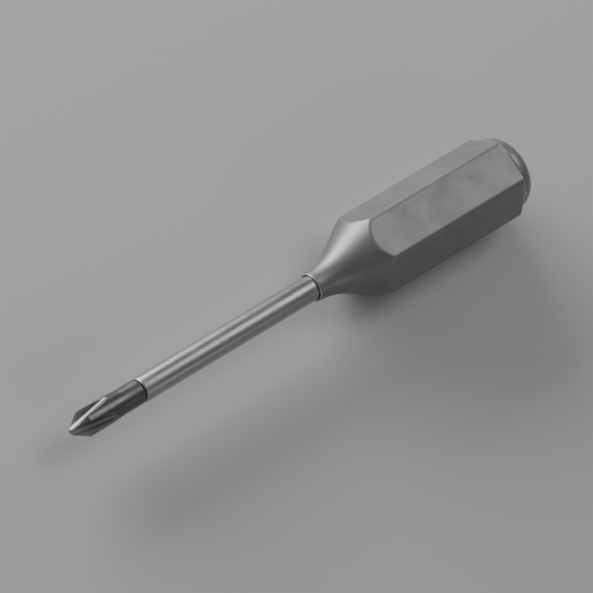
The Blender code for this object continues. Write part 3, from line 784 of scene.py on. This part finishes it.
# %% A small class for finishes
COLOUR_A, COLOUR_B, COLOUR_RESULT = 6, 7, 2  # the Mix node's colour sockets


class Finish:
    """A material under construction."""

    def __init__(self, name, metallic, roughness):
        self.material = bpy.data.materials.new(name)
        self.material.use_nodes = True
        self.tree = self.material.node_tree
        self.shader = self.tree.nodes["Principled BSDF"]
        self.shader.inputs["Metallic"].default_value = metallic
        self.shader.inputs["Roughness"].default_value = roughness
        self.vector = self.tree.nodes.new("ShaderNodeTexCoord").outputs["Object"]
        self.normal = None

    def effect(self, group, **values):
        """Places a shared effect with its own values."""
        node = self.tree.nodes.new("ShaderNodeGroup")
        node.node_tree = group
        self.tree.links.new(self.vector, node.inputs["Vector"])
        for socket, value in values.items():
            node.inputs[socket.replace("_", " ")].default_value = value
        return node.outputs

    def blend(self, mask, first, second):
        """A colour that goes from first to second where the mask is 1."""
        node = self.tree.nodes.new("ShaderNodeMix")
        node.data_type = "RGBA"
        self.tree.links.new(mask, node.inputs["Factor"])
        for socket, colour in ((node.inputs[COLOUR_A], first), (node.inputs[COLOUR_B], second)):
            if isinstance(colour, tuple):
                socket.default_value = (*colour, 1.0)
            else:
                self.tree.links.new(colour, socket)
        return node.outputs[COLOUR_RESULT]

    def number(self, mask, low, high):
        """A number that goes from low to high as the mask goes from 0 to 1."""
        node = self.tree.nodes.new("ShaderNodeMapRange")
        self.tree.links.new(mask, node.inputs["Value"])
        node.inputs["To Min"].default_value = low
        node.inputs["To Max"].default_value = high
        return node.outputs["Result"]

    def bump(self, height, distance, strength=1.0):
        """Adds a layer of bump. The distance is in metres."""
        node = self.tree.nodes.new("ShaderNodeBump")
        node.inputs["Distance"].default_value = distance
        node.inputs["Strength"].default_value = strength
        self.tree.links.new(height, node.inputs["Height"])
        if self.normal is not None:
            self.tree.links.new(self.normal, node.inputs["Normal"])
        self.normal = node.outputs["Normal"]
        self.tree.links.new(self.normal, self.shader.inputs["Normal"])

    def set(self, socket, value):
        """Feeds one of the shader's sockets."""
        self.tree.links.new(value, self.shader.inputs[socket])


print("finish helper ready")

# %% [markdown]
# **Blasted aluminium.** The handle's mid grey comes from the anodised film, which is duller than
# bare aluminium. Edges that have rubbed through show brighter and smoother metal.


# %% Finishes: the aluminium of the handle and the cap
def aluminium(name, base, worn_colour, roughness, lines):
    """Grey anodised aluminium, bead-blasted, with the lathe's rings showing through by lines."""
    made = Finish(name, 0.8, roughness)
    wear = made.effect(edge_wear, Reach=0.55, Patchiness=0.7)["Mask"]
    grain = made.effect(blast_grain)
    marks = made.effect(handling, Smudge=0.8, Dust=0.35)
    scratch = made.effect(hairlines, Thickness=0.006, Amount=0.30)["Mask"]
    turning = made.effect(turning_lines)
    darker = tuple(c * 0.86 for c in base)
    cloudy = made.blend(grain["Cloud"], darker, tuple(c * 1.1 for c in base))
    scratched = made.blend(math_node(made.tree, "MULTIPLY", scratch, 0.35), cloudy, worn_colour)
    rubbed = made.blend(wear, scratched, worn_colour)
    made.set("Base Color", made.blend(marks["Dust"], rubbed, (0.55, 0.54, 0.52)))
    dulled = made.number(marks["Smudge"], roughness, roughness + 0.10)
    polish = math_node(made.tree, "MULTIPLY", wear, 0.10)
    made.set("Roughness", math_node(made.tree, "SUBTRACT", dulled, polish))
    made.bump(grain["Height"], 0.010 * MM, 0.8)
    made.bump(turning["Height"], lines, 0.6)
    made.bump(scratch, 0.004 * MM, -0.5)
    return made.material


GREY = (0.26, 0.26, 0.26)
LIGHT_GREY = (0.31, 0.31, 0.31)
RUBBED_METAL = (0.54, 0.54, 0.54)
handle_finish = aluminium("blasted_aluminium", GREY, RUBBED_METAL, 0.46, 0.0005 * MM)
cap_finish = aluminium("turned_aluminium", LIGHT_GREY, RUBBED_METAL, 0.42, 0.003 * MM)
print(handle_finish.name, "and", cap_finish.name)

# %% [markdown]
# **Ground steel.** The shaft is the brightest piece. Grinding rings draw its reflections out along
# the tool, and bits pushed in and out have scuffed its front end.


# %% Finishes: bright steel
def bright_steel(name, base, roughness, ring_height, scratches=0.32):
    """Ground or turned steel with rings, hairlines and a film of handling."""
    made = Finish(name, 1.0, roughness)
    turning = made.effect(turning_lines, Unevenness=0.5)
    marks = made.effect(handling, Smudge=0.7, Dust=0.3)
    scratch = made.effect(hairlines, Thickness=0.006, Amount=scratches)["Mask"]
    wear = made.effect(edge_wear, Reach=0.5, Patchiness=0.6)["Mask"]
    darker = tuple(c * 0.88 for c in base)
    lighter = tuple(c * 1.06 for c in base)
    polished = tuple(min(c * 1.35, 0.9) for c in base)
    groove = tuple(c * 0.6 for c in base)
    toned = made.blend(turning["Tone"], darker, lighter)
    rubbed = made.blend(wear, toned, polished)
    scored = made.blend(math_node(made.tree, "MULTIPLY", scratch, 0.4), rubbed, groove)
    made.set("Base Color", made.blend(marks["Dust"], scored, (0.5, 0.49, 0.47)))
    made.set("Roughness", made.number(marks["Smudge"], roughness, roughness + 0.12))
    made.bump(turning["Height"], ring_height, 0.7)
    made.bump(scratch, 0.004 * MM, -0.6)
    return made.material


shaft_finish = bright_steel("ground_steel", (0.40, 0.40, 0.40), 0.34, 0.0025 * MM)
fastener_finish = bright_steel("fastener_steel", (0.46, 0.46, 0.46), 0.32, 0.003 * MM)
bearing_finish = bright_steel("bearing_steel", (0.66, 0.66, 0.66), 0.09, 0.0006 * MM, 0.2)
magnet_finish = bright_steel("nickel_plate", (0.58, 0.56, 0.52), 0.18, 0.001 * MM)
cover_finish = bright_steel("cover_steel", (0.30, 0.30, 0.30), 0.28, 0.005 * MM)
print("five bright steels")

# %% [markdown]
# **Blackened steel.** The bit is hardened and blackened, and use has rubbed its point bare. How
# bare depends on the distance from the tip, so the mask mixes that distance with the edge measure.

# %% Finish: the bit
RUBBED_LENGTH = 3.4 * MM


def blackened_steel():
    """Blackened steel with its point rubbed bare."""
    made = Finish("blackened_steel", 0.95, 0.36)
    split = made.tree.nodes.new("ShaderNodeSeparateXYZ")
    made.tree.links.new(made.vector, split.inputs[0])
    from_tip = math_node(made.tree, "SUBTRACT", split.outputs["X"], bit_tip)
    speckle = noise(made.tree, made.vector, 1400.0, detail=4.0)
    ragged = math_node(made.tree, "ADD", from_tip, math_node(made.tree, "MULTIPLY", speckle, 2.0 * MM))
    still_black = ramp_between(made.tree, ragged, RUBBED_LENGTH * 0.6, RUBBED_LENGTH * 1.7)
    near_tip = math_node(made.tree, "SUBTRACT", 1.0, still_black)
    wear = made.effect(edge_wear, Reach=0.6, Patchiness=0.8)["Mask"]
    bare = math_node(made.tree, "MAXIMUM", near_tip, math_node(made.tree, "MULTIPLY", wear, 0.6))
    grain = made.effect(blast_grain, Grain_per_metre=14000.0)
    marks = made.effect(handling, Smudge=0.8, Dust=0.25)
    scratch = made.effect(hairlines, Thickness=0.008, Amount=0.38)["Mask"]
    black = made.blend(grain["Cloud"], (0.13, 0.13, 0.133), (0.175, 0.175, 0.178))
    scored = made.blend(math_node(made.tree, "MULTIPLY", scratch, 0.5), black, (0.34, 0.34, 0.34))
    made.set("Base Color", made.blend(bare, scored, (0.29, 0.29, 0.29)))
    made.set("Roughness", made.number(marks["Smudge"], 0.32, 0.46))
    made.bump(grain["Height"], 0.006 * MM, 0.6)
    made.bump(scratch, 0.004 * MM, -0.5)
    return made.material


bit_finish = blackened_steel()
print(bit_finish.name)


# %% [markdown]
# **Brass, rubber and plastic.** These pieces are inside the handle, but each is seen when the tool
# comes apart, so none is left as a flat colour. Brass tarnishes in clouds. Rubber is dusty with
# talc. The washer's plastic is milky, with faint moulding grain.


# %% Finishes: brass, rubber and plastic
def turned_brass():
    """Brass with lathe rings and clouds of tarnish."""
    made = Finish("turned_brass", 1.0, 0.28)
    turning = made.effect(turning_lines, Unevenness=0.5)
    tarnish = made.effect(blast_grain)["Cloud"]
    marks = made.effect(handling, Smudge=0.7, Dust=0.2)
    made.set("Base Color", made.blend(tarnish, (0.46, 0.31, 0.11), (0.66, 0.49, 0.21)))
    made.set("Roughness", made.number(marks["Smudge"], 0.24, 0.42))
    made.bump(turning["Height"], 0.003 * MM, 0.7)
    return made.material


def seal_rubber():
    """Black rubber with talc on it."""
    made = Finish("seal_rubber", 0.0, 0.75)
    talc = made.effect(blast_grain, Grain_per_metre=6000.0)
    made.set("Base Color", made.blend(talc["Cloud"], (0.014, 0.014, 0.014), (0.055, 0.054, 0.052)))
    made.set("Roughness", made.number(talc["Cloud"], 0.62, 0.86))
    made.bump(talc["Height"], 0.006 * MM, 0.7)
    return made.material


def milky_plastic():
    """White plastic that lets a little light in."""
    made = Finish("milky_plastic", 0.0, 0.45)
    made.shader.inputs["Subsurface Weight"].default_value = 0.15
    made.shader.inputs["Subsurface Scale"].default_value = 0.5 * MM
    grain = made.effect(blast_grain, Grain_per_metre=5000.0)
    made.set("Base Color", made.blend(grain["Cloud"], (0.70, 0.69, 0.66), (0.82, 0.81, 0.79)))
    made.set("Roughness", made.number(grain["Cloud"], 0.40, 0.55))
    made.bump(grain["Height"], 0.006 * MM, 0.4)
    return made.material


brass_finish = turned_brass()
rubber_finish = seal_rubber()
plastic_finish = milky_plastic()
print("brass, rubber and plastic")

# %% [markdown]
# ## Dress every piece
#
# The new surfaces get their finish directly. The pieces that stay from the engineering model are
# dressed by the material slot that the record gives them, so that a new fastener needs no new line.

# %% Assign the finishes
FINISH_FOR_SLOT = {
    "handle_aluminium": handle_finish,
    "cap_aluminium": cap_finish,
    "shaft_steel": shaft_finish,
    "bit_steel": bit_finish,
    "cover_steel": cover_finish,
    "fastener_steel": fastener_finish,
    "bearing_steel": bearing_finish,
    "magnet_nickel": magnet_finish,
    "brass_fittings": brass_finish,
    "seal_rubber": rubber_finish,
    "washer_plastic": plastic_finish,
}


def dress(piece, finish):
    """Gives a piece one finish in all of its material slots."""
    if not piece.data.materials:
        piece.data.materials.append(finish)
    for place in piece.material_slots:
        place.material = finish


for piece, finish in (
    (handle, handle_finish),
    (shaft, shaft_finish),
    (bit, bit_finish),
    (cap, cap_finish),
    (disc, cover_finish),
):
    dress(piece, finish)
for entry in frame["record"]["subparts"]:
    dress(frame["nodes"][entry["node"]], FINISH_FOR_SLOT[entry["material_slot"]])
print("dressed", len(frame["nodes"]), "engineering pieces and 5 new surfaces")
